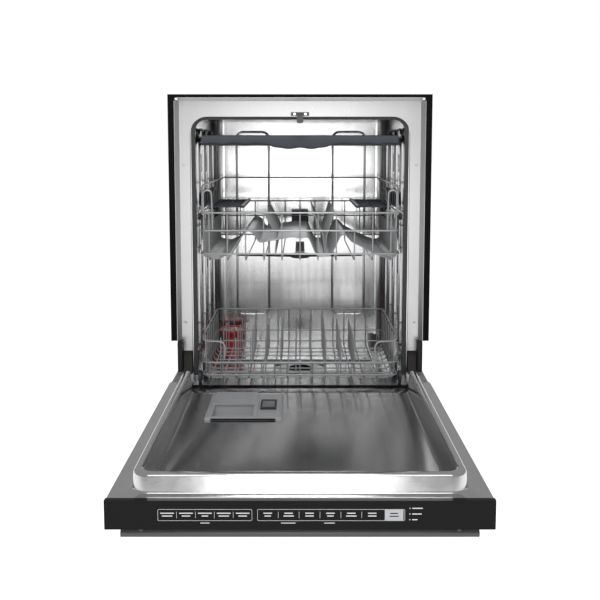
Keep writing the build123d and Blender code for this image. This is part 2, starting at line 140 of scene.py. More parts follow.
@dataclass(frozen=True)
class Finish:
    """One surface finish, from its base colour to the size of its grain."""

    name: str
    slot: str
    colour: Point
    roughness: float
    metallic: float = 0.0
    grain: Grain = Grain.FINE
    tint: float = 0.12
    rough_spread: float = 0.2
    bump: float = 0.05
    coat: float = 0.0
    specular: float = 0.5

    def material(self) -> bpy.types.Material:
        """Builds the finish once and returns it."""
        found = bpy.data.materials.get(self.name)
        if found:
            return found
        made = bpy.data.materials.new(self.name)
        made.use_nodes = True
        nodes, links = made.node_tree.nodes, made.node_tree.links
        shader = nodes["Principled BSDF"]
        shader.inputs["Metallic"].default_value = self.metallic
        shader.inputs["Coat Weight"].default_value = self.coat
        shader.inputs["Coat Roughness"].default_value = 0.08
        shader.inputs["Specular IOR Level"].default_value = self.specular
        marks = nodes.new("ShaderNodeGroup")
        marks.node_tree = surface_marks()
        marks.inputs["Color"].default_value = (*self.colour, 1.0)
        marks.inputs["Scale"].default_value = self.grain.value
        marks.inputs["Tint"].default_value = self.tint
        marks.inputs["Roughness"].default_value = self.roughness
        marks.inputs["Rough Spread"].default_value = self.rough_spread
        bump = nodes.new("ShaderNodeBump")
        bump.inputs["Strength"].default_value = self.bump
        bump.inputs["Distance"].default_value = 0.0004
        links.new(marks.outputs["Color"], shader.inputs["Base Color"])
        links.new(marks.outputs["Roughness"], shader.inputs["Roughness"])
        links.new(marks.outputs["Height"], bump.inputs["Height"])
        links.new(bump.outputs["Normal"], shader.inputs["Normal"])
        return made


TUB_STEEL = Finish("tub_steel", "stainless", (0.66, 0.66, 0.665), 0.19, 1.0, Grain.ALONG_Z, 0.30, 0.10, 0.012)
FLANGE_STEEL = Finish("flange_steel", "bright_stainless", (0.50, 0.50, 0.50), 0.30, 1.0, Grain.ALONG_Z, 0.08,
                      0.08, 0.008)
LINER_STEEL = Finish("liner_steel", "bright_stainless", (0.66, 0.66, 0.665), 0.17, 1.0, Grain.ALONG_Y, 0.14,
                     0.08, 0.006)
DOOR_STEEL = Finish("door_steel", "stainless", (0.40, 0.40, 0.41), 0.36, 1.0, Grain.ALONG_X, 0.12, 0.10, 0.02)
HANDLE_STEEL = Finish("handle_steel", "stainless", (0.085, 0.085, 0.088), 0.36, 1.0, Grain.ALONG_X, 0.10,
                      0.10, 0.02)
# Painted shade: the strike plate is bright stainless, but its colour is set near-black for the shade it sits
# in under the top of the opening.
SHADED_STRIKE_STEEL = Finish("strike_steel_painted_shade", "bright_stainless", (0.07, 0.07, 0.07), 0.34, 1.0, Grain.COARSE, 0.10,
                      0.1, 0.02)
BRIGHT_METAL = Finish("bright_metal", "bright_stainless", (0.80, 0.80, 0.80), 0.15, 1.0, Grain.COARSE, 0.08,
                      0.1, 0.02)
ZINC = Finish("zinc_plate", "galvanised", (0.50, 0.52, 0.53), 0.42, 0.9, Grain.COARSE, 0.35, 0.3, 0.05)
RACK_GREY = Finish("rack_coating", "rack_wire", (0.34, 0.345, 0.35), 0.34, 0.3, Grain.FINE, 0.12, 0.12, 0.03,
                   0.15)
SLATE = Finish("slate_moulding", "slate_plastic", (0.034, 0.039, 0.048), 0.48, 0.0, Grain.FINE, 0.15, 0.15,
               0.10, 0.0, 0.40)
PALE_GREY = Finish("pale_grey_plastic", "grey_plastic", (0.42, 0.43, 0.44), 0.36, 0.0, Grain.FINE, 0.08, 0.12,
                   0.08, 0.1)
MID_GREY = Finish("mid_grey_plastic", "slate_plastic", (0.22, 0.225, 0.23), 0.40, 0.0, Grain.FINE, 0.10, 0.12,
                  0.08)
RED = Finish("red_moulding", "red_plastic", (0.72, 0.022, 0.028), 0.30, 0.0, Grain.FINE, 0.12, 0.12, 0.05,
             0.5)
BLACK_TRIM = Finish("black_trim", "trim_black", (0.004, 0.004, 0.004), 0.50, 0.0, Grain.COARSE, 0.2, 0.1,
                    0.04, 0.0, 0.05)
BLACK_MOULD = Finish("black_moulding", "black_plastic", (0.009, 0.009, 0.010), 0.45, 0.0, Grain.FINE, 0.2,
                     0.1, 0.08, 0.0, 0.2)
BLACK_GLOSS = Finish("black_gloss", "control_black", (0.003, 0.003, 0.0035), 0.16, 0.0, Grain.COARSE, 0.1,
                     0.05, 0.005, 0.0, 0.14)
# Near-black rubber of the gasket; the same finish also serves as painted shade in the side-wall slots, the
# filter-screen holes and the spray-arm jets.
SEAL_AND_HOLE_SHADE = Finish("seal_rubber_and_hole_shade", "gasket", (0.030, 0.030, 0.032), 0.62, 0.0, Grain.COARSE, 0.2, 0.2, 0.15)
FELT = Finish("damping_felt", "felt", (0.05, 0.048, 0.045), 0.92, 0.0, Grain.COARSE, 0.5, 0.1, 0.6)
PRINT = Finish("pale_print", "grey_plastic", (0.62, 0.62, 0.62), 0.45, 0.0, Grain.FINE, 0.05, 0.05, 0.0)
BOARD = Finish("circuit_board", "board_green", (0.02, 0.12, 0.05), 0.35, 0.0, Grain.COARSE, 0.2, 0.1, 0.1,
               0.4)

SLOT_FINISH = {finish.slot: finish for finish in (
    TUB_STEEL, FLANGE_STEEL, BLACK_TRIM, SEAL_AND_HOLE_SHADE, BLACK_MOULD, BLACK_GLOSS, SLATE, RACK_GREY, RED, PALE_GREY,
    ZINC, FELT,
    BOARD)}
NODE_FINISH = {
    "door_outer_panel": DOOR_STEEL, "door_handle": HANDLE_STEEL, "latch_strike": SHADED_STRIKE_STEEL,
    "lower_spray_arm": BRIGHT_METAL, "rack_rails": BRIGHT_METAL, "door_liner": LINER_STEEL,
    "start_pad": PALE_GREY,
    "upper_feed_tube": MID_GREY,
}


# ------------------------------------------------------------------ mesh helpers
def mesh_object(name: str, mesh: bpy.types.Mesh) -> bpy.types.Object:
    """Puts a mesh in the scene as an object at the origin."""
    made = bpy.data.objects.new(name, mesh)
    bpy.context.scene.collection.objects.link(made)
    return made


def from_bmesh(name: str, work: Work) -> bpy.types.Object:
    """Turns a bmesh into an object, with its faces turned outwards."""
    bmesh.ops.recalc_face_normals(work, faces=work.faces)
    mesh = bpy.data.meshes.new(name)
    work.to_mesh(mesh)
    work.free()
    return mesh_object(name, mesh)


def flatten(piece: bpy.types.Object) -> bpy.types.Object:
    """Applies a piece's modifiers, so that it holds a plain mesh."""
    bpy.context.view_layer.update()
    graph = bpy.context.evaluated_depsgraph_get()
    mesh = bpy.data.meshes.new_from_object(piece.evaluated_get(graph))
    old = piece.data
    piece.modifiers.clear()
    piece.data = mesh
    if isinstance(old, bpy.types.Mesh) and old.users == 0:
        bpy.data.meshes.remove(old)
    return piece


def settle(piece: bpy.types.Object, finish: Finish, body: str,
           replaces: Iterable[str] = (), smooth: float = 40.0) -> bpy.types.Object:
    """Gives a finished piece its material, shading, body and slot.

    Args:
        piece: The object, in place.
        finish: Its surface finish, which also names its material slot.
        body: The body that it moves with.
        replaces: The CAD nodes that it stands for.
        smooth: The angle in degrees under which edges are shaded smooth, or 0 for flat faces.

    Returns:
        The same object.
    """
    piece.data.materials.clear()
    piece.data.materials.append(finish.material())
    if smooth:
        piece.data.shade_smooth()
        piece.data.set_sharp_from_angle(angle=math.radians(smooth))
    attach(piece, body)
    nodes = tuple(replaces)
    if nodes:
        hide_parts(*nodes)
    LOG.info("%s: %d faces on %s", piece.name, len(piece.data.polygons), body)
    return piece


def bevelled(piece: bpy.types.Object, width: float, segments: int = 2) -> bpy.types.Object:
    """Rounds a piece's sharp edges and applies the result."""
    edge = piece.modifiers.new("edge", "BEVEL")
    edge.width = width
    edge.segments = segments
    edge.limit_method = "ANGLE"
    edge.angle_limit = math.radians(35)
    return flatten(piece)


def add_box(work: Work, low: Sequence[float], high: Sequence[float],
            turn: Matrix | None = None) -> None:
    """Adds a box between two corners, turned about its own centre if asked."""
    size = Vector(high) - Vector(low)
    centre = (Vector(high) + Vector(low)) / 2
    place = Matrix.Translation(centre) @ (turn or Matrix.Identity(4)) @ Matrix.Diagonal((*size, 1.0))
    bmesh.ops.create_cube(work, size=1.0, matrix=place)


def add_disc(work: Work, centre: Sequence[float], radius: float, height: float,
             axis: str = "Z", segments: int = 32, top: float | None = None) -> None:
    """Adds a closed cylinder or cone centred on a point, along one axis."""
    turn = {"Z": Matrix.Identity(4), "X": Matrix.Rotation(math.pi / 2, 4, "Y"),
            "Y": Matrix.Rotation(math.pi / 2, 4, "X")}[axis]
    bmesh.ops.create_cone(work, cap_ends=True, segments=segments, radius1=radius,
                          radius2=radius if top is None else top, depth=height,
                          matrix=Matrix.Translation(Vector(centre)) @ turn)


def rounded_path(low: Sequence[float], high: Sequence[float], radius: float,
                 steps: int = 8) -> list[tuple[float, float]]:
    """Points round a rectangle with round corners, anticlockwise."""
    path = []
    corners = ((high[0] - radius, high[1] - radius, 0), (low[0] + radius, high[1] - radius, 90),
               (low[0] + radius, low[1] + radius, 180), (high[0] - radius, low[1] + radius, 270))
    for x, y, start in corners:
        for step in range(steps + 1):
            angle = math.radians(start + 90 * step / steps)
            path.append((x + radius * math.cos(angle), y + radius * math.sin(angle)))
    return path


class Ends(Enum):
    """What closes a skin of rings at its first and last ring."""

    OPEN = "open"
    CAPPED = "capped"
    JOINED = "joined"


def skin_rings(work: Work, rings: Sequence[Sequence[Point]], ends: Ends = Ends.CAPPED,
               closed: bool = True) -> list[list]:
    """Joins rings of equal length with faces.

    Args:
        work: The bmesh that takes the faces.
        rings: The rings, each a list of points.
        ends: Whether the skin is left open, capped, or joined back to its start.
        closed: Whether each ring runs back to its own first point.

    Returns:
        The vertices of each ring.
    """
    made = [[work.verts.new(p) for p in ring] for ring in rings]
    count = len(rings[0])
    pairs = list(zip(made, made[1:]))
    if ends is Ends.JOINED:
        pairs.append((made[-1], made[0]))
    for a, b in pairs:
        for i in range(count if closed else count - 1):
            j = (i + 1) % count
            work.faces.new((a[i], a[j], b[j], b[i]))
    if ends is Ends.CAPPED:
        work.faces.new(made[0])
        work.faces.new(made[-1])
    return made


def turns(count: int) -> list[float]:
    """Evenly spaced angles round a full turn, in radians."""
    return [2 * math.pi * i / count for i in range(count)]


def ring_about(centre: Vector, radius: float, z: float, count: int) -> list[Point]:
    """Returns evenly spaced points of a level circle."""
    return [(centre.x + radius * math.cos(a), centre.y + radius * math.sin(a), z) for a in turns(count)]


# ------------------------------------------------------------------ Geometry Nodes
def node_socket(modifier: bpy.types.Modifier, name: str, value: object) -> None:
    """Sets one named input of a Geometry Nodes modifier through the socket's identifier."""
    for item in modifier.node_group.interface.items_tree:
        if item.item_type == "SOCKET" and item.in_out == "INPUT" and item.name == name:
            modifier[item.identifier] = value
            return
    raise KeyError(name)


def new_tree(name: str, inputs: Sequence[tuple[str, str]]) -> tuple[bpy.types.NodeTree, bpy.types.Node]:
    """Starts a Geometry Nodes tree that ends in Realize Instances and Set Material.

    Args:
        name: The tree's name.
        inputs: The name and the kind of each input between its geometry and its material.

    Returns:
        The tree, and the Realize Instances node that the shape goes into.
    """
    tree = bpy.data.node_groups.new(name, "GeometryNodeTree")
    for label, kind in (("Geometry", "Geometry"), *inputs, ("Material", "Material")):
        tree.interface.new_socket(label, in_out="INPUT", socket_type="NodeSocket" + kind)
    tree.interface.new_socket("Geometry", in_out="OUTPUT", socket_type="NodeSocketGeometry")
    nodes, links = tree.nodes, tree.links
    entry, leave = nodes.new("NodeGroupInput"), nodes.new("NodeGroupOutput")
    real, paint = nodes.new("GeometryNodeRealizeInstances"), nodes.new("GeometryNodeSetMaterial")
    links.new(real.outputs["Geometry"], paint.inputs["Geometry"])
    links.new(entry.outputs["Material"], paint.inputs["Material"])
    links.new(paint.outputs["Geometry"], leave.inputs["Geometry"])
    return tree, real


def bent_wire_tree() -> bpy.types.NodeTree:
    """Builds the tree that turns straight runs into bent round wire, with rounded corners and closed ends."""
    if "bent_wire" in bpy.data.node_groups:
        return bpy.data.node_groups["bent_wire"]
    tree, real = new_tree("bent_wire", (("Wire Radius", "Float"), ("Bend Radius", "Float"), ("Sides", "Int")))
    nodes, links = tree.nodes, tree.links
    entry = nodes["Group Input"]
    curve = nodes.new("GeometryNodeMeshToCurve")
    bend = nodes.new("GeometryNodeFilletCurve")
    bend.mode = "POLY"
    bend.inputs["Limit Radius"].default_value = True
    bend.inputs["Count"].default_value = 4
    profile = nodes.new("GeometryNodeCurvePrimitiveCircle")
    sweep = nodes.new("GeometryNodeCurveToMesh")
    sweep.inputs["Fill Caps"].default_value = True
    links.new(entry.outputs["Geometry"], curve.inputs["Mesh"])
    links.new(curve.outputs["Curve"], bend.inputs["Curve"])
    links.new(entry.outputs["Bend Radius"], bend.inputs["Radius"])
    links.new(entry.outputs["Sides"], profile.inputs["Resolution"])
    links.new(entry.outputs["Wire Radius"], profile.inputs["Radius"])
    links.new(bend.outputs["Curve"], sweep.inputs["Curve"])
    links.new(profile.outputs["Curve"], sweep.inputs["Profile Curve"])
    links.new(sweep.outputs["Mesh"], real.inputs["Geometry"])
    return tree


def bent_wires(name: str, runs: Sequence[Sequence[Point]], radius: float, bend: float, finish: Finish,
               loops: Sequence[Sequence[Point]] = (), sides: int = 8) -> bpy.types.Object:
    """Makes a group of bent wires as one plain mesh.

    Args:
        name: The piece's name.
        runs: Open wires, each a list of its corners.
        radius: The wire's radius.
        bend: The radius of its bends.
        finish: The wire's finish.
        loops: Closed wires, each a list of its corners.
        sides: Faces round the wire.

    Returns:
        The object, with its modifier applied.
    """
    mesh = bpy.data.meshes.new(name)
    verts, edges = [], []
    for path, closed in [(run, False) for run in runs] + [(loop, True) for loop in loops]:
        first = len(verts)
        verts.extend(path)
        edges.extend((first + i, first + i + 1) for i in range(len(path) - 1))
        if closed:
            edges.append((first + len(path) - 1, first))
    mesh.from_pydata(verts, edges, [])
    piece = mesh_object(name, mesh)
    wire = piece.modifiers.new("wire", "NODES")
    wire.node_group = bent_wire_tree()
    node_socket(wire, "Wire Radius", radius)
    node_socket(wire, "Bend Radius", bend)
    node_socket(wire, "Sides", sides)
    node_socket(wire, "Material", finish.material())
    return flatten(piece)


def repeat_tree() -> bpy.types.NodeTree:
    """Builds the tree that copies one small object to every point of a mesh."""
    if "repeat_at_points" in bpy.data.node_groups:
        return bpy.data.node_groups["repeat_at_points"]
    tree, real = new_tree("repeat_at_points", (("Part", "Object"),))
    nodes, links = tree.nodes, tree.links
    entry = nodes["Group Input"]
    part = nodes.new("GeometryNodeObjectInfo")
    copies = nodes.new("GeometryNodeInstanceOnPoints")
    links.new(entry.outputs["Part"], part.inputs["Object"])
    links.new(entry.outputs["Geometry"], copies.inputs["Points"])
    links.new(part.outputs["Geometry"], copies.inputs["Instance"])
    links.new(copies.outputs["Instances"], real.inputs["Geometry"])
    return tree


def repeated(name: str, part: bpy.types.Object, places: Sequence[Point], finish: Finish) -> bpy.types.Object:
    """Copies a small part to every place and removes the original.

    Args:
        name: The piece's name.
        part: The small part, built round the origin.
        places: Where each copy goes.
        finish: The finish of every copy.

    Returns:
        One object that holds all the copies.
    """
    mesh = bpy.data.meshes.new(name)
    mesh.from_pydata(list(places), [], [])
    piece = mesh_object(name, mesh)
    copy = piece.modifiers.new("copy", "NODES")
    copy.node_group = repeat_tree()
    node_socket(copy, "Part", part)
    node_socket(copy, "Material", finish.material())
    flatten(piece)
    bpy.data.objects.remove(part)
    return piece


def spread(low: float, high: float, count: int) -> list[float]:
    """Evenly spaced values, ends included."""
    return [low + (high - low) * i / (count - 1) for i in range(count)]


# ------------------------------------------------------------------ camera, light and floor
@dataclass
class Studio:
    """Camera, soft lights, pale floor and backdrop."""

    camera_distance: float = 1.929
    camera_height: float = 0.741
    lens: float = 50.6
    pitch: float = 6.0
    shift: float = -0.107
    floor_size: float = 40.0
    floor_glow: float = 0.80
    surround_seen: float = 1.0
    surround_felt: float = 0.34

    def camera(self, front: float) -> None:
        """Puts the camera in front of the tub's front plane, looking slightly down."""
        data = bpy.data.cameras.new("camera")
        data.lens = self.lens
        data.sensor_width = 36.0
        data.shift_y = self.shift
        data.clip_end = 100.0
        lens = bpy.data.objects.new("camera", data)
        lens.location = (0.0, front - self.camera_distance, self.camera_height)
        lens.rotation_euler = (math.radians(90 - self.pitch), 0.0, 0.0)
        bpy.context.scene.collection.objects.link(lens)
        bpy.context.scene.camera = lens

    def light(self, name: str, place: Point, aim: Point, size: tuple[float, float], power: float) -> None:
        """Adds one soft rectangular light."""
        data = bpy.data.lights.new(name, "AREA")
        data.shape = "RECTANGLE"
        data.size, data.size_y = size
        data.energy = power
        lamp = bpy.data.objects.new(name, data)
        lamp.location = place
        lamp.rotation_euler = (Vector(aim) - Vector(place)).to_track_quat("-Z", "Y").to_euler()
        bpy.context.scene.collection.objects.link(lamp)

    def stage(self) -> None:
        """Adds the pale floor and the even surrounding light."""
        work = bmesh.new()
        bmesh.ops.create_grid(work, x_segments=1, y_segments=1, size=self.floor_size)
        floor = from_bmesh("floor", work)
        floor.data.transform(Matrix.Translation((0, 0, -0.0005)))
        paper = bpy.data.materials.new("pale_paper")
        paper.use_nodes = True
        shader = paper.node_tree.nodes["Principled BSDF"]
        shader.inputs["Base Color"].default_value = (0.93, 0.93, 0.93, 1.0)
        shader.inputs["Roughness"].default_value = 0.9
        shader.inputs["Emission Color"].default_value = (1.0, 1.0, 1.0, 1.0)
        shader.inputs["Emission Strength"].default_value = self.floor_glow
        floor.data.materials.append(paper)
        world = bpy.data.worlds.new("studio")
        world.use_nodes = True
        nodes, links = world.node_tree.nodes, world.node_tree.links
        nodes["Background"].inputs["Color"].default_value = (1.0, 1.0, 1.0, 1.0)
        rays, strength = nodes.new("ShaderNodeLightPath"), nodes.new("ShaderNodeMapRange")
        strength.inputs["To Min"].default_value = self.surround_felt
        strength.inputs["To Max"].default_value = self.surround_seen
        links.new(rays.outputs["Is Camera Ray"], strength.inputs["Value"])
        links.new(strength.outputs["Result"], nodes["Background"].inputs["Strength"])
        bpy.context.scene.world = world
        bpy.context.scene.view_settings.view_transform = "Standard"

    def build(self, front: float) -> None:
        """Sets up the whole studio."""
        self.camera(front)
        self.stage()
        self.light("front_soft", (0.0, -3.2, 2.6), (0.0, 0.2, 0.4), (2.4, 1.4), 26.0)
        self.light("tub_fill", (0.0, -1.2, 1.9), (0.0, 0.6, 0.45), (0.5, 0.5), 8.0)
        self.light("front_card", (0.0, -2.5, 0.60), (0.0, 0.6, 0.55), (0.85, 0.80), 6.5)


# ------------------------------------------------------------------ cabinet and tub
@dataclass
class Tub:
    """Pressed beads of the tub walls, and the screws and slots around the opening."""

    bead_radius: float = 0.0035
    bead_bend: float = 0.018
    back_panels: tuple[float, ...] = (-0.139, 0.143)
    back_half: float = 0.047
    bead_low: float = 0.244
    bead_high: float = 0.785
    side_panels: tuple[float, ...] = (0.17, 0.29, 0.41, 0.53)
    side_half: float = 0.043

    def beads(self) -> None:
        """Adds rounded rectangular beads on the back and side walls, and ribs on the floor."""
        low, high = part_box("tub")
        back = high.y - 0.002
        side = high.x - 0.002
        loops = []
        for x in self.back_panels:
            loops.append([(x + px, back, pz) for px, pz in (
                (-self.back_half, self.bead_low), (self.back_half, self.bead_low),
                (self.back_half, self.bead_high), (-self.back_half, self.bead_high))])
        for y in self.side_panels:
            for sign in (-1, 1):
                loops.append([(sign * side, y + py, pz) for py, pz in (
                    (-self.side_half, self.bead_low), (self.side_half, self.bead_low),
                    (self.side_half, self.bead_high), (-self.side_half, self.bead_high))])
        runs = [[(x, low.y + 0.10, 0.158), (x, high.y - 0.04, 0.158)] for x in (-0.20, -0.12, 0.12, 0.20)]
        piece = bent_wires("tub_beads", runs, self.bead_radius, self.bead_bend, TUB_STEEL, loops)
        settle(piece, TUB_STEEL, "cabinet")

    def slots(self) -> None:
        """Adds dark vent slots high on the side walls."""
        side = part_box("tub")[1].x - 0.002
        # Each vent slot is a thin near-black box on the wall: painted shade in place of an opening.
        work = bmesh.new()
        add_box(work, (-0.0006, -0.004, -0.024), (0.0006, 0.004, 0.024))
        slot = bevelled(from_bmesh("slot_part", work), 0.0004, 1)
        places = [(sign * side, y, z) for sign in (-1, 1) for y in self.side_panels[:3] for z in (0.70, 0.44)]
        settle(repeated("side_wall_slots", slot, places, SEAL_AND_HOLE_SHADE), SEAL_AND_HOLE_SHADE, "cabinet")

    def front_screws(self) -> None:
        """Adds the round dimples of the side flanges and the two bright screws of the strike plate."""
        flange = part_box("front_frame")
        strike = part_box("latch_strike")
        work = bmesh.new()
        bmesh.ops.create_uvsphere(work, u_segments=16, v_segments=8, radius=0.0032,
                                  matrix=Matrix.Diagonal((1, 0.35, 1, 1)))
        head = from_bmesh("screw_part", work)
        face = flange[0].y + 0.033
        places = [(sign * 0.270, face, z) for sign in (-1, 1) for z in (0.330, 0.700)]
        settle(repeated("flange_screws", head, places, ZINC), ZINC, "cabinet")
        work = bmesh.new()
        add_disc(work, (0, 0, 0), 0.0027, 0.0012, "Y", 16)
        head = from_bmesh("strike_screw_part", work)
        places = [(sign * 0.0125, strike[1].y - 0.0035, 0.8168) for sign in (-1, 1)]
        settle(repeated("strike_screws", head, places, BRIGHT_METAL), BRIGHT_METAL, "cabinet")

    def build(self) -> None:
        """Builds every tub detail."""
        self.beads()
        self.slots()
        self.front_screws()


@dataclass
class Basin:
    """Spray arm, filter screen and wash nozzle on the tub floor."""

    arm_thick: float = 0.0085
    nozzle_flutes: int = 14
    flute_depth: float = 0.035

    def blade(self, name: str, node: str, body: str, finish: Finish, width: float) -> None:
        """Builds a tapered spray arm with a hub and a row of jets, in place of its CAD node.

        Args:
            name: The piece's name.
            node: The CAD node that it stands for.
            body: The body that it moves with.
            finish: Its finish.
            width: The arm's width at the hub.
        """
        low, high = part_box(node)
        centre = (low + high) / 2
        reach = (high.x - low.x) / 2 - 0.001
        rings = []
        for x in spread(-reach, reach, 29):
            t = abs(x) / reach
            half = width / 2 * (1.0 - 0.42 * t) * math.sqrt(max(0.02, 1.0 - t ** 14))
            top = high.z - 0.0008
            thick = self.arm_thick * (1.0 - 0.25 * t)
            ring = []
            for angle in turns(12):
                squeeze = math.copysign(abs(math.sin(angle)) ** 0.7, math.sin(angle))
                ring.append((centre.x + x, centre.y + half * math.cos(angle),
                             top - thick / 2 + thick / 2 * squeeze))
            rings.append(ring)
        work = bmesh.new()
        skin_rings(work, rings)
        add_disc(work, (centre.x, centre.y, (low.z + high.z) / 2), 0.024, high.z - low.z - 0.0005,
                 segments=40, top=0.020)
        settle(from_bmesh(name, work), finish, body, (node,))
        # The jets are small near-black discs on the arm: painted shade in place of jet holes.
        work = bmesh.new()
        add_disc(work, (0, 0, 0), 0.0026, 0.0012, segments=12)
        jet = from_bmesh("jet_part", work)
        places = [(centre.x + s * x, centre.y + s * 0.003, high.z - 0.0010)
                  for s in (-1, 1) for x in spread(0.075, reach - 0.02, 5)]
        settle(repeated(name + "_jets", jet, places, SEAL_AND_HOLE_SHADE), SEAL_AND_HOLE_SHADE, body)

    def filter_screen(self) -> None:
        """Adds a perforated look to the flat screen with rings of small near-black discs, painted shade in
        place of holes.
        """
        low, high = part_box("fine_filter")
        centre = (low + high) / 2
        work = bmesh.new()
        add_disc(work, (0, 0, 0), 0.0013, 0.0004, segments=6)
        hole = from_bmesh("hole_part", work)
        places = []
        for ring in range(7):
            radius = 0.035 + 0.0042 * ring
            count = int(2 * math.pi * radius / 0.0045)
            places += ring_about(centre, radius, high.z + 0.0001, count)
        settle(repeated("screen_holes", hole, places, SEAL_AND_HOLE_SHADE), SEAL_AND_HOLE_SHADE, "cabinet")

    def nozzle(self) -> None:
        """Builds the fluted nozzle column and its flared turning head."""
        low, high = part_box("nozzle_base")
        centre = (low + high) / 2
        head_low, head_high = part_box("nozzle_head")
        radius = (high.x - low.x) / 2
        rings = []
        for t, share in ((0.0, 1.0), (0.05, 1.0), (0.3, 0.90), (0.9, 0.84), (1.0, 0.80)):
            z = low.z + t * (head_low.z - 0.001 - low.z)
            ring = []
            for a in turns(self.nozzle_flutes * 4):
                reach = radius * share * (1 - self.flute_depth * (1 + math.cos(self.nozzle_flutes * a)))
                ring.append((centre.x + reach * math.cos(a), centre.y + reach * math.sin(a), z))
            rings.append(ring)
        work = bmesh.new()
        skin_rings(work, rings)
        add_disc(work, (centre.x, centre.y, low.z + 0.004), radius, 0.008, segments=48)
        settle(from_bmesh("nozzle_column", work), RED, "cabinet", ("nozzle_base",))
        outer = (head_high.x - head_low.x) / 2
        height = head_high.z - head_low.z
        profile = ((0.30, 0.0), (0.66, 0.0), (0.74, 0.12), (0.80, 0.45), (0.96, 0.60), (1.0, 0.72),
                   (1.0, 0.90),
                   (0.97, 1.0), (0.86, 1.0), (0.80, 0.86), (0.45, 0.80), (0.42, 1.0), (0.30, 1.0))
        work = bmesh.new()
        rings = [ring_about(centre, outer * share, head_low.z + height * t, 48) for share, t in profile]
        skin_rings(work, rings)
        settle(from_bmesh("nozzle_cap", work), RED, "nozzle_head", ("nozzle_head",))

    def build(self) -> None:
        """Builds everything on the tub floor."""
        self.blade("lower_arm", "lower_spray_arm", "lower_spray_arm", BRIGHT_METAL, 0.046)
        self.blade("middle_arm", "middle_spray_arm", "middle_spray_arm", SLATE, 0.036)
        self.filter_screen()
        self.nozzle()


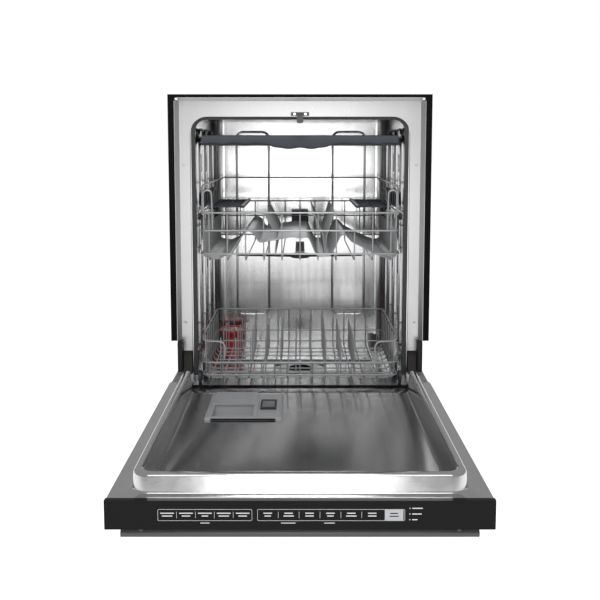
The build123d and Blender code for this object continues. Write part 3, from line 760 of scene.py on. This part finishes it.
# ------------------------------------------------------------------ door
@dataclass
class Door:
    """Liner with its soft ridge, dispenser details and the marks of the control end."""

    flange_z: float = 0.206
    panel_z: float = 0.1865
    ridge_z: float = 0.237
    ridge_rear_gap: float = 0.062
    corner_steps: int = 10
    mark_depth: float = 0.0002
    left_group: tuple[float, float] = (-0.217, -0.073)
    right_group: tuple[float, float] = (-0.065, 0.160)
    group_low: float = 0.1742
    group_high: float = 0.1925

    def u_ring(self, half: float, front: float, rear: float, radius: float, z: float) -> list[Point]:
        """Points along a U: down the left side, round the front and back up the right side."""
        points = [(-half, rear, z)]
        for centre, start in (((-half + radius, front + radius), 180),
                              ((half - radius, front + radius), 270)):
            for step in range(self.corner_steps + 1):
                angle = math.radians(start + 90 * step / self.corner_steps)
                points.append((centre[0] + radius * math.cos(angle), centre[1] + radius * math.sin(angle), z))
        points.append((half, rear, z))
        return points

    def liner(self) -> None:
        """Builds the pressed liner as one soft-edged skin, cut for the dispenser and the latch."""
        low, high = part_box("door_liner")
        end = low.y + 0.0138
        rear = high.y - (self.ridge_rear_gap - 0.024)
        profile = (
            (0.2670, 0.0, 0.030, self.flange_z), (0.2660, 0.001, 0.030, 0.2072),
            (0.2650, 0.002, 0.029, 0.2100),
            (0.2635, 0.0035, 0.028, 0.2320), (0.2622, 0.0048, 0.027, 0.2354),
            (0.2595, 0.0075, 0.026, self.ridge_z),
            (0.2520, 0.0150, 0.022, self.ridge_z), (0.2490, 0.0180, 0.020, 0.2358),
            (0.2476, 0.0194, 0.018, 0.2325),
            (0.2452, 0.0218, 0.017, 0.1915), (0.2440, 0.0230, 0.016, 0.1880),
            (0.2410, 0.0260, 0.014, self.panel_z),
        )
        work = bmesh.new()
        outer = [self.u_ring(0.2968, low.y, rear, 0.002, self.flange_z)]
        rings = outer + [self.u_ring(half, end + inset, rear, radius, z) for half, inset, radius,
                         z in profile]
        made = skin_rings(work, rings, Ends.OPEN, closed=False)
        work.faces.new(made[-1])
        for side in (0, -1):
            ends = [ring[side] for ring in made[1:]]
            work.faces.new(ends)
        skin = from_bmesh("liner_skin", work)
        wall = skin.modifiers.new("wall", "SOLIDIFY")
        wall.thickness = 0.0012
        wall.offset = -1.0
        flatten(skin)
        work = bmesh.new()
        cup_low, cup_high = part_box("dispenser_body")
        add_box(work, (-0.194, cup_low.y + 0.002, 0.15), (-0.039, cup_high.y - 0.002, 0.20))
        add_box(work, (-0.014, low.y + 0.0358, 0.17), (0.014, low.y + 0.0698, 0.20))
        cutter = from_bmesh("liner_cutter", work)
        cut = skin.modifiers.new("cut", "BOOLEAN")
        cut.object = cutter
        cut.solver = "EXACT"
        flatten(skin)
        bpy.data.objects.remove(cutter)
        skin.name = "liner_pressing"
        settle(skin, LINER_STEEL, "door", ("door_liner",), 50.0)
        work = bmesh.new()
        add_box(work, (-0.2668, rear - 0.0005, 0.1853), (0.2668, high.y - 0.0004, self.panel_z))
        for sign in (-1, 1):
            x = sorted((sign * 0.2672, sign * 0.2966))
            add_box(work, (x[0], rear, 0.2046), (x[1], high.y - 0.018, self.flange_z))
            x = sorted((sign * 0.2656, sign * 0.2672))
            add_box(work, (x[0], rear, 0.1853), (x[1], high.y - 0.018, self.flange_z))
        settle(bevelled(from_bmesh("liner_rear_apron", work), 0.0004), LINER_STEEL, "door")

    def frame_mark(self, work: Work, low: Sequence[float], high: Sequence[float], face: float) -> None:
        """Adds a thin rounded outline on the control face."""
        outer = rounded_path(low, high, 0.0022, 5)
        inner = rounded_path((low[0] + 0.0005, low[1] + 0.0005), (high[0] - 0.0005, high[1] - 0.0005), 0.0018,
                             5)
        rings = [[(x, y, z) for x, z in path] for path, y in
                 ((outer, face), (outer, face - self.mark_depth), (inner, face - self.mark_depth),
                  (inner, face))]
        skin_rings(work, rings, Ends.JOINED)

    def marks(self) -> None:
        """Adds outlines, separators, plain label bars and indicator marks to the control face."""
        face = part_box("control_panel")[0].y
        work = bmesh.new()
        depth = (face - self.mark_depth, face)
        for (left, right), count in ((self.left_group, 5), (self.right_group, 6)):
            self.frame_mark(work, (left, self.group_low), (right, self.group_high), face)
            last = right if count == 5 else 0.126
            pitch = (last - left) / count
            for i in range(count):
                middle = left + pitch * (i + 0.5)
                widths = (0.0065 + 0.002 * ((i * 3 + count) % 3), 0.005 + 0.0015 * ((i * 2 + count) % 3))
                for half, z in zip(widths, (0.1862, 0.1818)):
                    add_box(work, (middle - half, depth[0], z - 0.0008),
                            (middle + half, depth[1], z + 0.0008))
                if i:
                    x = left + pitch * i
                    add_box(work, (x - 0.00025, depth[0], 0.1785), (x + 0.00025, depth[1], 0.1885))
        for z, half in ((0.194, 0.008), (0.185, 0.0072), (0.176, 0.004)):
            add_box(work, (0.171, depth[0], z - 0.0008), (0.171 + 2 * half, depth[1], z + 0.0008))
            add_disc(work, (0.1675, face - self.mark_depth / 2, z), 0.0009, self.mark_depth, "Y", 12)
        for x, half in ((-0.145, 0.007), (0.045, 0.008), (-0.018, 0.011)):
            add_box(work, (x - half, depth[0], 0.1700), (x + half, depth[1], 0.1712))
        settle(from_bmesh("control_marks", work), PRINT, "door", (), 0.0)

    def pad_marks(self) -> None:
        """Adds two plain dark bars to the start pad."""
        low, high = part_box("start_pad")
        middle = (low.x + high.x) / 2
        work = bmesh.new()
        for z, half in ((0.1858, 0.0060), (0.1812, 0.0070)):
            add_box(work, (middle - half, low.y - self.mark_depth, z - 0.0008),
                    (middle + half, low.y, z + 0.0008))
        settle(from_bmesh("pad_marks", work), BLACK_MOULD, "start_pad", (), 0.0)

    def dispenser(self) -> None:
        """Adds the rounded frame, cup steps, lid grip and cap pad of the dispenser."""
        low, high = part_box("dispenser_body")
        lid_low, lid_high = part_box("detergent_lid")
        cap_low, cap_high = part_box("rinse_aid_cap")
        work = bmesh.new()
        rings = []
        for grow, z in ((0.0, self.panel_z + 0.0004), (0.0, high.z + 0.0004), (-0.0016, high.z + 0.0014),
                        (-0.0042, high.z + 0.0014), (-0.0052, high.z - 0.0002)):
            path = rounded_path((low.x - grow, low.y - grow), (high.x + grow, high.y + grow), 0.012 + grow, 6)
            rings.append([(x, y, z) for x, y in path])
        skin_rings(work, rings, Ends.JOINED)
        settle(from_bmesh("dispenser_rim", work), PALE_GREY, "door")
        work = bmesh.new()
        for i in range(3):
            y = low.y + 0.018 + 0.014 * i
            add_box(work, (lid_low.x + 0.006, y, 0.1702), (lid_high.x - 0.006, y + 0.002, 0.1735 + 0.002 * i))
        add_box(work, (-0.0960, low.y + 0.012, high.z), (-0.0890, high.y - 0.012, high.z + 0.0016))
        settle(bevelled(from_bmesh("dispenser_cup_ribs", work), 0.0005), PALE_GREY, "door")
        work = bmesh.new()
        for i in range(5):
            y = lid_low.y + 0.010 + 0.004 * i
            add_box(work, (lid_low.x + 0.020, y, lid_high.z),
                    (lid_high.x - 0.020, y + 0.0015, lid_high.z + 0.0007))
        add_box(work, (lid_high.x - 0.014, lid_low.y + 0.004, lid_high.z),
                (lid_high.x - 0.004, lid_low.y + 0.016, lid_high.z + 0.0015))
        settle(bevelled(from_bmesh("lid_grip", work), 0.0003), PALE_GREY, "detergent_lid")
        work = bmesh.new()
        add_box(work, (cap_low.x + 0.004, cap_low.y + 0.006, cap_high.z),
                (cap_high.x - 0.004, cap_high.y - 0.014, cap_high.z + 0.0008))
        add_disc(work, ((cap_low.x + cap_high.x) / 2, cap_low.y + 0.016, cap_high.z + 0.0006), 0.006, 0.0012,
                 segments=24)
        settle(bevelled(from_bmesh("cap_pad", work), 0.0003), MID_GREY, "rinse_aid_cap")

    def build(self) -> None:
        """Builds every door detail."""
        self.liner()
        self.marks()
        self.pad_marks()
        self.dispenser()


# ------------------------------------------------------------------ racks
@dataclass
class LowerRack:
    """Bent-wire lower rack with a low front, rows of tines and wheels."""

    wire: float = 0.0021
    thin: float = 0.0016
    bend: float = 0.016
    cross_count: int = 8
    long_count: int = 15
    tine_columns: tuple[float, float, int] = (-0.190, 0.098, 9)
    tine_rows: int = 4
    tine_top: float = 0.286
    tine_base: float = 0.2055
    rails: tuple[float, float] = (0.243, 0.213)
    tab: float = 0.050
    tab_drop: float = 0.052
    wheel_width: float = 0.007
    wheel_steps: int = 32
    spokes: int = 5
    tread: tuple[tuple[float, float], ...] = (
        (0.30, 0.0), (0.36, 0.0), (0.38, 0.30), (0.70, 0.30), (0.74, 0.0), (0.94, 0.0), (1.0, 0.12),
        (1.0, 0.88),
        (0.94, 1.0), (0.74, 1.0), (0.70, 0.70), (0.38, 0.70), (0.36, 1.0), (0.30, 1.0))

    def frame(self) -> None:
        """Builds the rim, rails and the wires that wrap under the floor."""
        low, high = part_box("lower_rack_frame")
        x = high.x - self.wire
        y0, y1 = low.y + self.wire, high.y - self.wire
        rim, floor = high.z - self.wire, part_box("lower_rack_floor")[0].z + self.wire
        tab = x - self.tab
        thick = [[(sign * tab, y0 + 0.001, rim - self.tab_drop), (sign * (tab - 0.004), y0, rim - 0.010),
                  (sign * x, y0, rim - 0.008), (sign * x, y0 + 0.02, rim), (sign * x, y1, rim),
                  (0.0, y1, rim)]
                 for sign in (-1, 1)]
        loops = [[(-x, y0, z), (x, y0, z), (x, y1, z), (-x, y1, z)] for z in self.rails]
        piece = bent_wires("lower_rack_rim", thick, self.wire, self.bend, RACK_GREY, loops)
        settle(piece, RACK_GREY, "lower_rack", ("lower_rack_frame",))
        inner, gap = x - 2 * self.wire, 2 * self.wire
        runs = []
        for px in spread(-inner + 0.012, inner - 0.012, self.long_count):
            runs.append([(px, y0 + gap, self.rails[0]), (px, y0 + gap, floor + 0.004),
                         (px, y1 - gap, floor + 0.004),
                         (px, y1 - gap, rim)])
        for py in spread(y0 + 0.03, y1 - 0.03, self.cross_count):
            runs.append([(-inner, py, rim), (-inner, py, floor), (inner, py, floor), (inner, py, rim)])
        piece = bent_wires("lower_rack_wires", runs, self.thin, 0.012, RACK_GREY)
        settle(piece, RACK_GREY, "lower_rack", ("lower_rack_floor",))

    def tines(self) -> None:
        """Builds the fixed rows of looped tines and the folding row with its rod."""
        low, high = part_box("lower_rack_frame")
        base = self.tine_base
        rows = []
        left, right, count = self.tine_columns
        for y in spread(low.y + 0.062, high.y - 0.062, self.tine_rows):
            for x in spread(left, right, count):
                rows.append([(x, y - 0.004, base), (x, y, base + 0.03), (x, y + 0.006, self.tine_top)])
            rows.append([(left - 0.012, y, base), (right + 0.006, y, base)])
        piece = bent_wires("lower_tines", rows, self.thin, 0.01, RACK_GREY)
        settle(piece, RACK_GREY, "lower_rack")
        fold_low, fold_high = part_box("fold_tines")
        x = (fold_low.x + fold_high.x) / 2
        rod = fold_low.z + 0.0017
        runs = [[(x, fold_low.y, rod), (x, fold_high.y, rod)]]
        for y in spread(fold_low.y + 0.012, fold_high.y - 0.012, 9):
            runs.append([(x, y, rod), (x, y + 0.001, rod + 0.03), (x, y + 0.004, fold_high.z - 0.001)])
        piece = bent_wires("folding_tines", runs, self.thin, 0.01, RACK_GREY)
        settle(piece, RACK_GREY, "fold_tines", ("fold_tines",))

    def wheels(self) -> None:
        """Builds spoked wheels with a rounded tread in place of the plain ones."""
        for index in range(1, 5):
            node = f"lower_wheels_{index}"
            low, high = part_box(node)
            radius, middle = (high.z - low.z) / 2, (low + high) / 2
            work = bmesh.new()
            for sign in (-1, 1):
                outer = high.x
                rings = [[(sign * (outer - self.wheel_width * across),
                           middle.y + radius * share * math.cos(a),
                           middle.z + radius * share * math.sin(a)) for a in turns(self.wheel_steps)]
                         for share, across in self.tread]
                skin_rings(work, rings, Ends.JOINED)
                hub = Vector((sign * (outer - self.wheel_width / 2), middle.y, middle.z))
                half = Vector((0.0012, 0.0011, radius * 0.18))
                for angle in turns(self.spokes):
                    turn = Matrix.Rotation(angle, 4, "X")
                    at = hub + turn @ Vector((0, 0, radius * 0.54))
                    add_box(work, at - half, at + half, turn)
            settle(from_bmesh(f"wheel_pair_{index}", work), SLATE, f"wheels_{index}", (node,))

    def build(self) -> None:
        """Builds the whole rack."""
        self.frame()
        self.tines()
        self.wheels()


@dataclass
class UpperRack:
    """Bent-wire upper rack with a waved floor, cup shelves and side adjusters."""

    wire: float = 0.0021
    thin: float = 0.0016
    bend: float = 0.014
    wave: tuple[tuple[float, float], ...] = (
        (-0.222, 0.552), (-0.222, 0.482), (-0.190, 0.477), (-0.163, 0.490), (-0.124, 0.546), (-0.108, 0.540),
        (-0.094, 0.516), (-0.019, 0.530), (0.020, 0.530), (0.040, 0.482), (0.070, 0.484), (0.099, 0.544),
        (0.118, 0.520),
        (0.177, 0.488), (0.206, 0.478), (0.222, 0.482), (0.222, 0.552))
    wave_count: int = 20
    rails: tuple[float, float, float] = (0.588, 0.546, 0.491)
    underside: float = 0.4755
    wire_span: float = 0.214
    shelf_hinge: tuple[float, float] = (0.218, 0.598)
    shelf_width: float = 0.084
    slats: int = 19

    def frame(self) -> None:
        """Builds the rails, the raised corner loops and the back rim."""
        low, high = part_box("upper_rack_frame")
        x, y0, y1 = high.x - self.wire, low.y + self.wire, high.y - self.wire
        rim = high.z - self.wire
        loops = [[(-x, y0, z), (x, y0, z), (x, y1, z), (-x, y1, z)] for z in self.rails]
        top, middle = self.rails[:2]
        inner = x - 2 * self.wire
        back, side_rim, front = y1 - 0.002, rim - 0.004, y0 + 0.0045
        runs = [[(sign * inner, y1, top), (sign * inner, back, rim), (0.0, back, rim)] for sign in (-1, 1)]
        for sign in (-1, 1):
            runs.append([(sign * inner, y0 + 0.006, top), (sign * inner, y0 + 0.006, side_rim),
                         (sign * inner, back, side_rim), (sign * inner, back, top)])
            runs.append([(sign * (inner - inset), front, z) for inset, z in (
                (0.004, middle), (0.002, rim - 0.014), (0.022, rim - 0.014), (0.024, middle))])
        piece = bent_wires("upper_rack_rails", runs, self.wire, self.bend, RACK_GREY, loops)
        settle(piece, RACK_GREY, "upper_rack", ("upper_rack_frame",))

    def floor(self) -> None:
        """Builds the waved floor wires, the lengthwise wires and the front and back uprights."""
        low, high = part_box("upper_rack_frame")
        y0, y1 = low.y + 0.0058, high.y - 0.0058
        share = (high.x - 0.008) / self.wave[-1][0]
        runs = [[(x * share, y, z) for x, z in self.wave]
                for y in spread(y0 + 0.012, y1 - 0.012, self.wave_count)]
        top, floor = self.rails[0], self.underside
        for x in spread(-self.wire_span, self.wire_span, 11):
            runs.append([(x, y0, top), (x, y0, floor), (x, y1, floor), (x, y1, top)])
        piece = bent_wires("upper_rack_floor_wires", runs, self.thin, 0.010, RACK_GREY)
        settle(piece, RACK_GREY, "upper_rack", ("upper_rack_floor",))
        tines = []
        for x, top in ((-0.060, 0.578), (0.060, 0.590)):
            for y in spread(y0 + 0.04, y1 - 0.04, 13):
                tines.append([(x, y, 0.482), (x + 0.004, y, 0.530), (x + math.copysign(0.022, x), y, top)])
                if x > 0:
                    tines.append([(x, y, 0.482), (x - 0.004, y, 0.530), (x - 0.030, y, top)])
        settle(bent_wires("upper_tines", tines, self.thin, 0.010, RACK_GREY), RACK_GREY, "upper_rack")

    def cup_shelf(self, sign: int) -> None:
        """Builds one slatted cup shelf, lying level inside the rack.

        Args:
            sign: 1 for the right side, -1 for the left.
        """
        node = "cup_shelf_right" if sign > 0 else "cup_shelf_left"
        low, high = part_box(node)
        width = self.shelf_width
        hinge = Vector((sign * self.shelf_hinge[0], 0.0, self.shelf_hinge[1]))

        def at(u: float, y: float, v: float) -> Point:
            """A point on the shelf: u inwards from the hinge, v above its plane."""
            return (hinge.x - sign * u, y, hinge.z + v)

        work = bmesh.new()

        def bar(u: tuple[float, float], y: tuple[float, float], v: tuple[float, float]) -> None:
            """Adds one straight bar of the shelf."""
            near, far = at(u[0], y[0], v[0]), at(u[1], y[1], v[1])
            add_box(work, [min(pair) for pair in zip(near, far)], [max(pair) for pair in zip(near, far)])

        for y in spread(low.y + 0.004, high.y - 0.004, self.slats):
            bar((0.008, width - 0.005), (y - 0.0018, y + 0.0018), (-0.0018, 0.0018))
        bar((0.003, 0.011), (low.y, high.y), (-0.0028, 0.0028))
        bar((width - 0.011, width - 0.0005), (low.y, high.y), (-0.0028, 0.0028))
        bar((0.040, 0.044), (low.y, high.y), (-0.0028, 0.0018))
        shelf = bevelled(from_bmesh(f"{node}_grid", work), 0.0007)
        settle(shelf, SLATE, node, (node,))
        work = bmesh.new()
        tip = at(width - 0.004, 0.0, 0.0036)
        for y in spread(low.y + 0.012, high.y - 0.012, 7):
            add_box(work, (tip[0] - 0.0035, y - 0.009, tip[2] - 0.0012),
                    (tip[0] + 0.0035, y + 0.009, tip[2] + 0.0014))
        settle(bevelled(from_bmesh(f"{node}_grips", work), 0.0009), PALE_GREY, node)

    def adjusters(self) -> None:
        """Adds the levers and ribs of the height adjusters."""
        low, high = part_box("height_adjusters")
        work = bmesh.new()
        for sign in (-1, 1):
            for y in spread(low.y + 0.09, high.y - 0.09, 5):
                x = sorted((sign * 0.2346, sign * 0.2369))
                add_box(work, (x[0], y - 0.010, 0.597), (x[1], y + 0.010, 0.625))
            x = sorted((sign * 0.2265, sign * 0.2369))
            add_box(work, (x[0], low.y + 0.10, 0.6275), (x[1], low.y + 0.16, 0.6335))
            add_box(work, (x[0], high.y - 0.16, 0.6275), (x[1], high.y - 0.10, 0.6335))
        settle(bevelled(from_bmesh("adjuster_ribs", work), 0.0008), SLATE, "upper_rack")

    def build(self) -> None:
        """Builds the whole rack."""
        self.frame()
        self.floor()
        self.cup_shelf(1)
        self.cup_shelf(-1)
        self.adjusters()


@dataclass
class CutleryTray:
    """Shallow tray of fine ribs with a moulded front grip."""

    wall: float = 0.003
    rib_count: int = 27

    def grip(self) -> None:
        """Builds the front bar with its waved lower edge and round finger grip."""
        low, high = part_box("tray_handle")
        bar_low = high.z - 0.024
        points = []
        for x in spread(low.x, high.x, 93):
            dip = 0.010 / (1 + math.exp((abs(x) - 0.066) / 0.0035)) if abs(x) < 0.12 else 0.0
            wave = 0.0016 * math.cos(2 * math.pi * x / 0.052)
            points.append((x, bar_low + 0.003 + wave - dip))
        work = bmesh.new()
        rings = []
        for x, bottom in points:
            top = high.z - 0.0004
            front, back = low.y + 0.0004, high.y - 0.0004
            rings.append([(x, back, top), (x, front + 0.003, top), (x, front, top - 0.004),
                          (x, front, bottom + 0.003),
                          (x, front + 0.003, bottom), (x, back, bottom)])
        skin_rings(work, rings)
        settle(from_bmesh("tray_grip", work), SLATE, "third_rack", ("tray_handle",), 50.0)

    def ribs(self) -> None:
        """Adds the fine ribs that hold cutlery across the tray."""
        low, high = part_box("cutlery_tray")
        work = bmesh.new()
        add_box(work, (-0.0510, -0.0008, 0.0), (0.0510, 0.0008, 0.009))
        rib = bevelled(from_bmesh("rib_part", work), 0.0005, 1)
        places = [(x, y, low.z + self.wall) for x in (-0.1675, -0.055, 0.055, 0.1675)
                  for y in spread(low.y + 0.02, high.y - 0.02, self.rib_count)]
        settle(repeated("tray_ribs", rib, places, SLATE), SLATE, "third_rack")

    def build(self) -> None:
        """Builds the tray's details."""
        self.grip()
        self.ribs()


def dress_nodes(frame: dict) -> None:
    """Gives every CAD node that still shows the finish of its slot.
    """
    slots = {row["node"]: row["material_slot"] for row in frame["record"]["subparts"]}
    for name, node in frame["nodes"].items():
        finish = NODE_FINISH.get(name) or SLOT_FINISH[slots[name]]
        node.data.materials.clear()
        node.data.materials.append(finish.material())


def main() -> None:
    """Builds the studio and every sub-assembly."""
    logging.basicConfig(level=logging.INFO, format="%(message)s")
    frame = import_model()
    dress_nodes(frame)
    Studio().build(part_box("perimeter_trim")[0].y)
    for assembly in (Tub(), Basin(), Door(), LowerRack(), UpperRack(), CutleryTray()):
        assembly.build()


if __name__ == "__main__":
    main()
